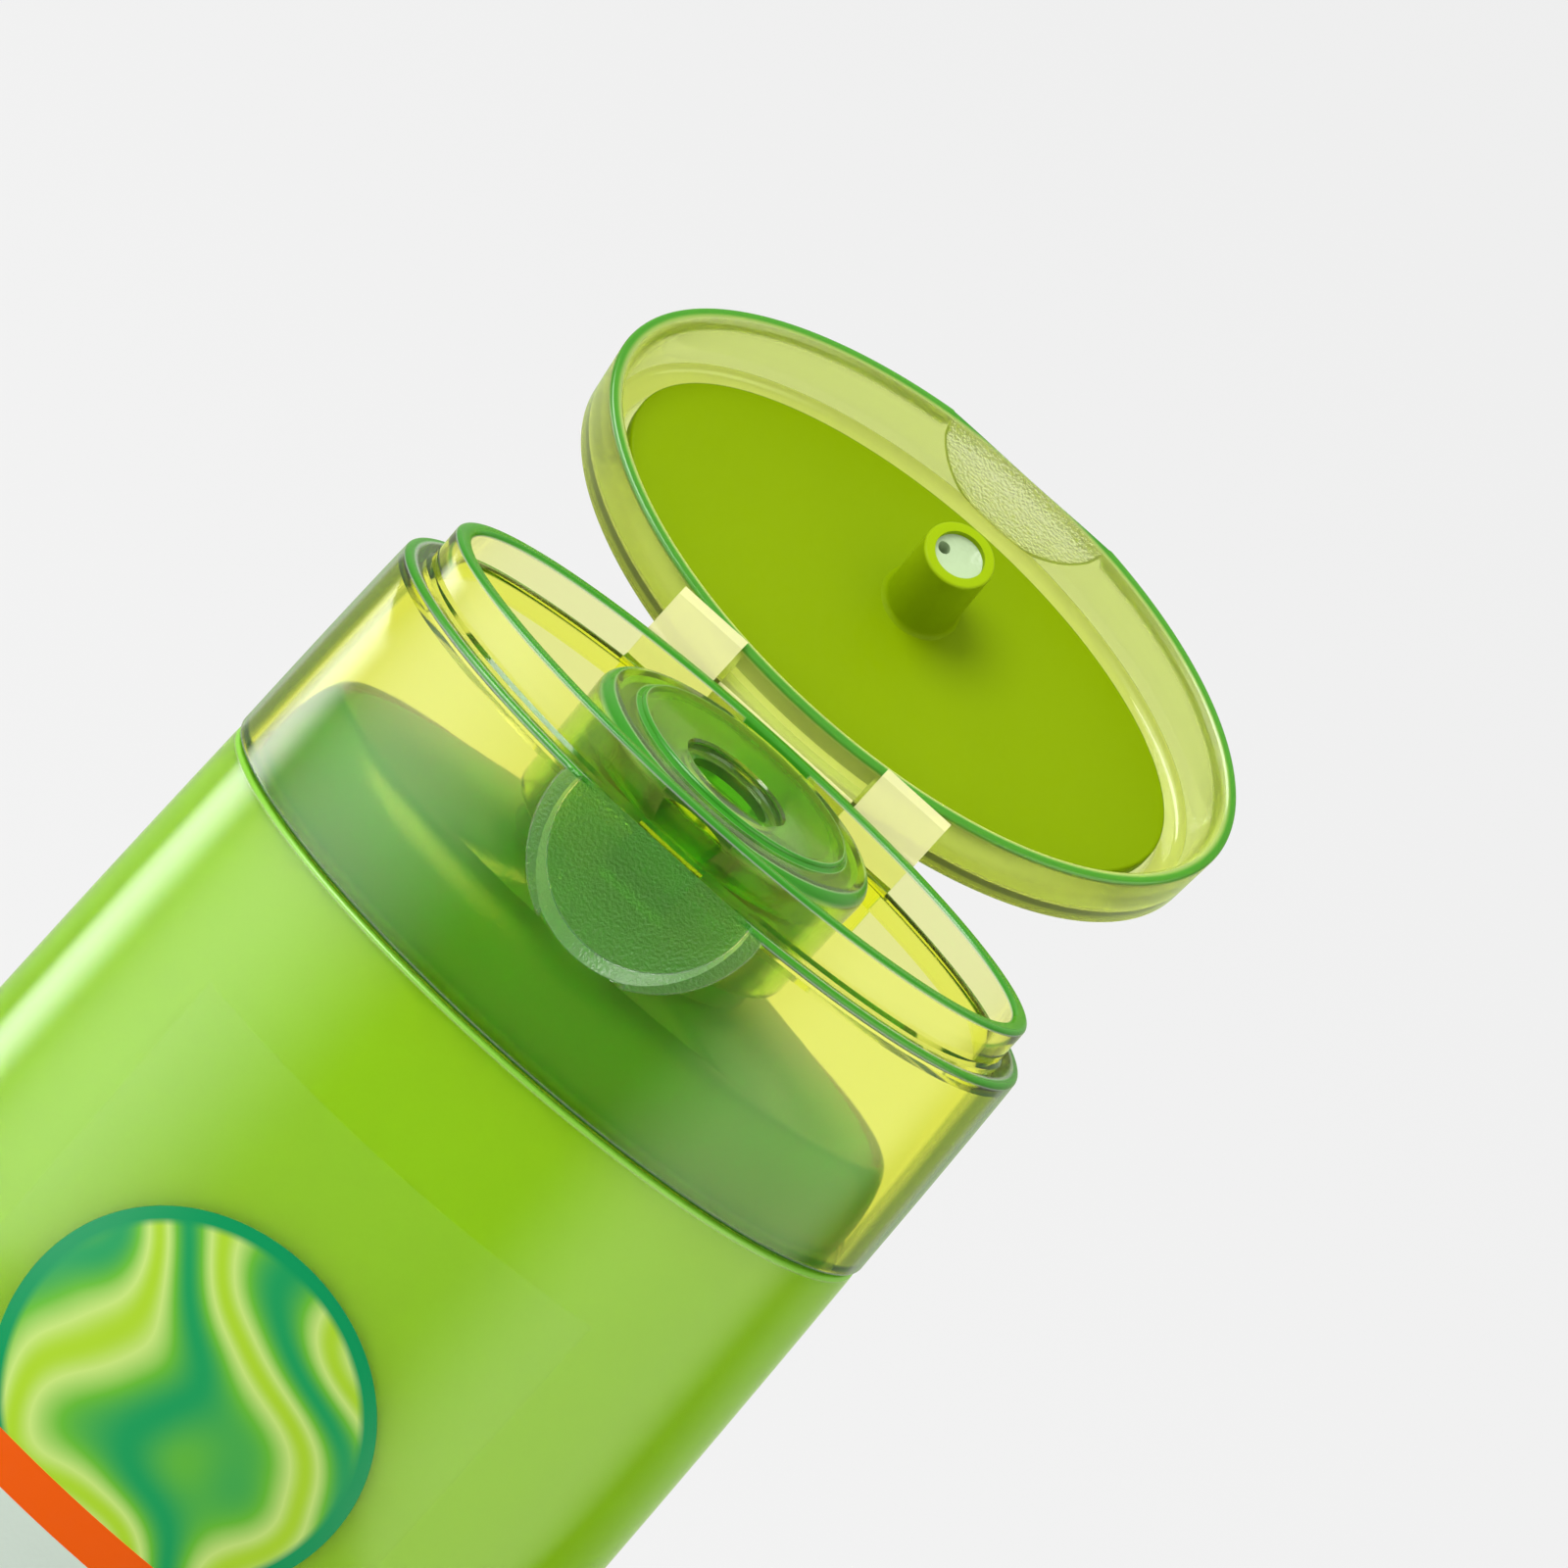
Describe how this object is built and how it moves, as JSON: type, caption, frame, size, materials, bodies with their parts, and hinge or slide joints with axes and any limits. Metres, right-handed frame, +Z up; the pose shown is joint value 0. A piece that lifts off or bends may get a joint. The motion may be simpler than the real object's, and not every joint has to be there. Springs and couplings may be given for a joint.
{
  "type": "flip-top conditioner bottle",
  "caption": "Oval squeeze bottle of conditioner with a clear flip-top cap, its hinged lid held open to show the outlet and the plug pin.",
  "frame": {"origin": "middle of the foot, on the surface that the bottle stands on", "axes": "+Z up from the foot to the cap, -Y the front with the thumb recess, +Y the hinge side, X the width"},
  "size_m": [0.0646, 0.0682, 0.1684],
  "materials": {
    "bottle_plastic": "glossy, see-through green",
    "conditioner_cream": "smooth cream, stands for a liquid",
    "label_film": "clear film",
    "cap_plastic": "clear yellow-green, polished",
    "insert_plastic": "opaque lime, satin"
  },
  "bodies": {
    "pack": {"bottle": "bottle_plastic", "conditioner": "conditioner_cream", "front_label": "label_film", "back_label": "label_film", "cap_base": "cap_plastic", "hinge_film": "cap_plastic", "hinge_strap_left": "cap_plastic", "hinge_strap_right": "cap_plastic"},
    "lid_body": {"lid": "cap_plastic", "lid_insert": "insert_plastic"}
  },
  "joints": [
    {"name": "lid_hinge", "type": "hinge", "parent": "pack", "child": "lid_body", "pos_m": [0, 0.0184, 0.14675], "axis": [-1, 0, 0], "range_deg": [-144, 20], "stiffness_Nm_per_rad": 0.001, "deforming": ["hinge_film", "hinge_strap_left", "hinge_strap_right"]}
  ]
}
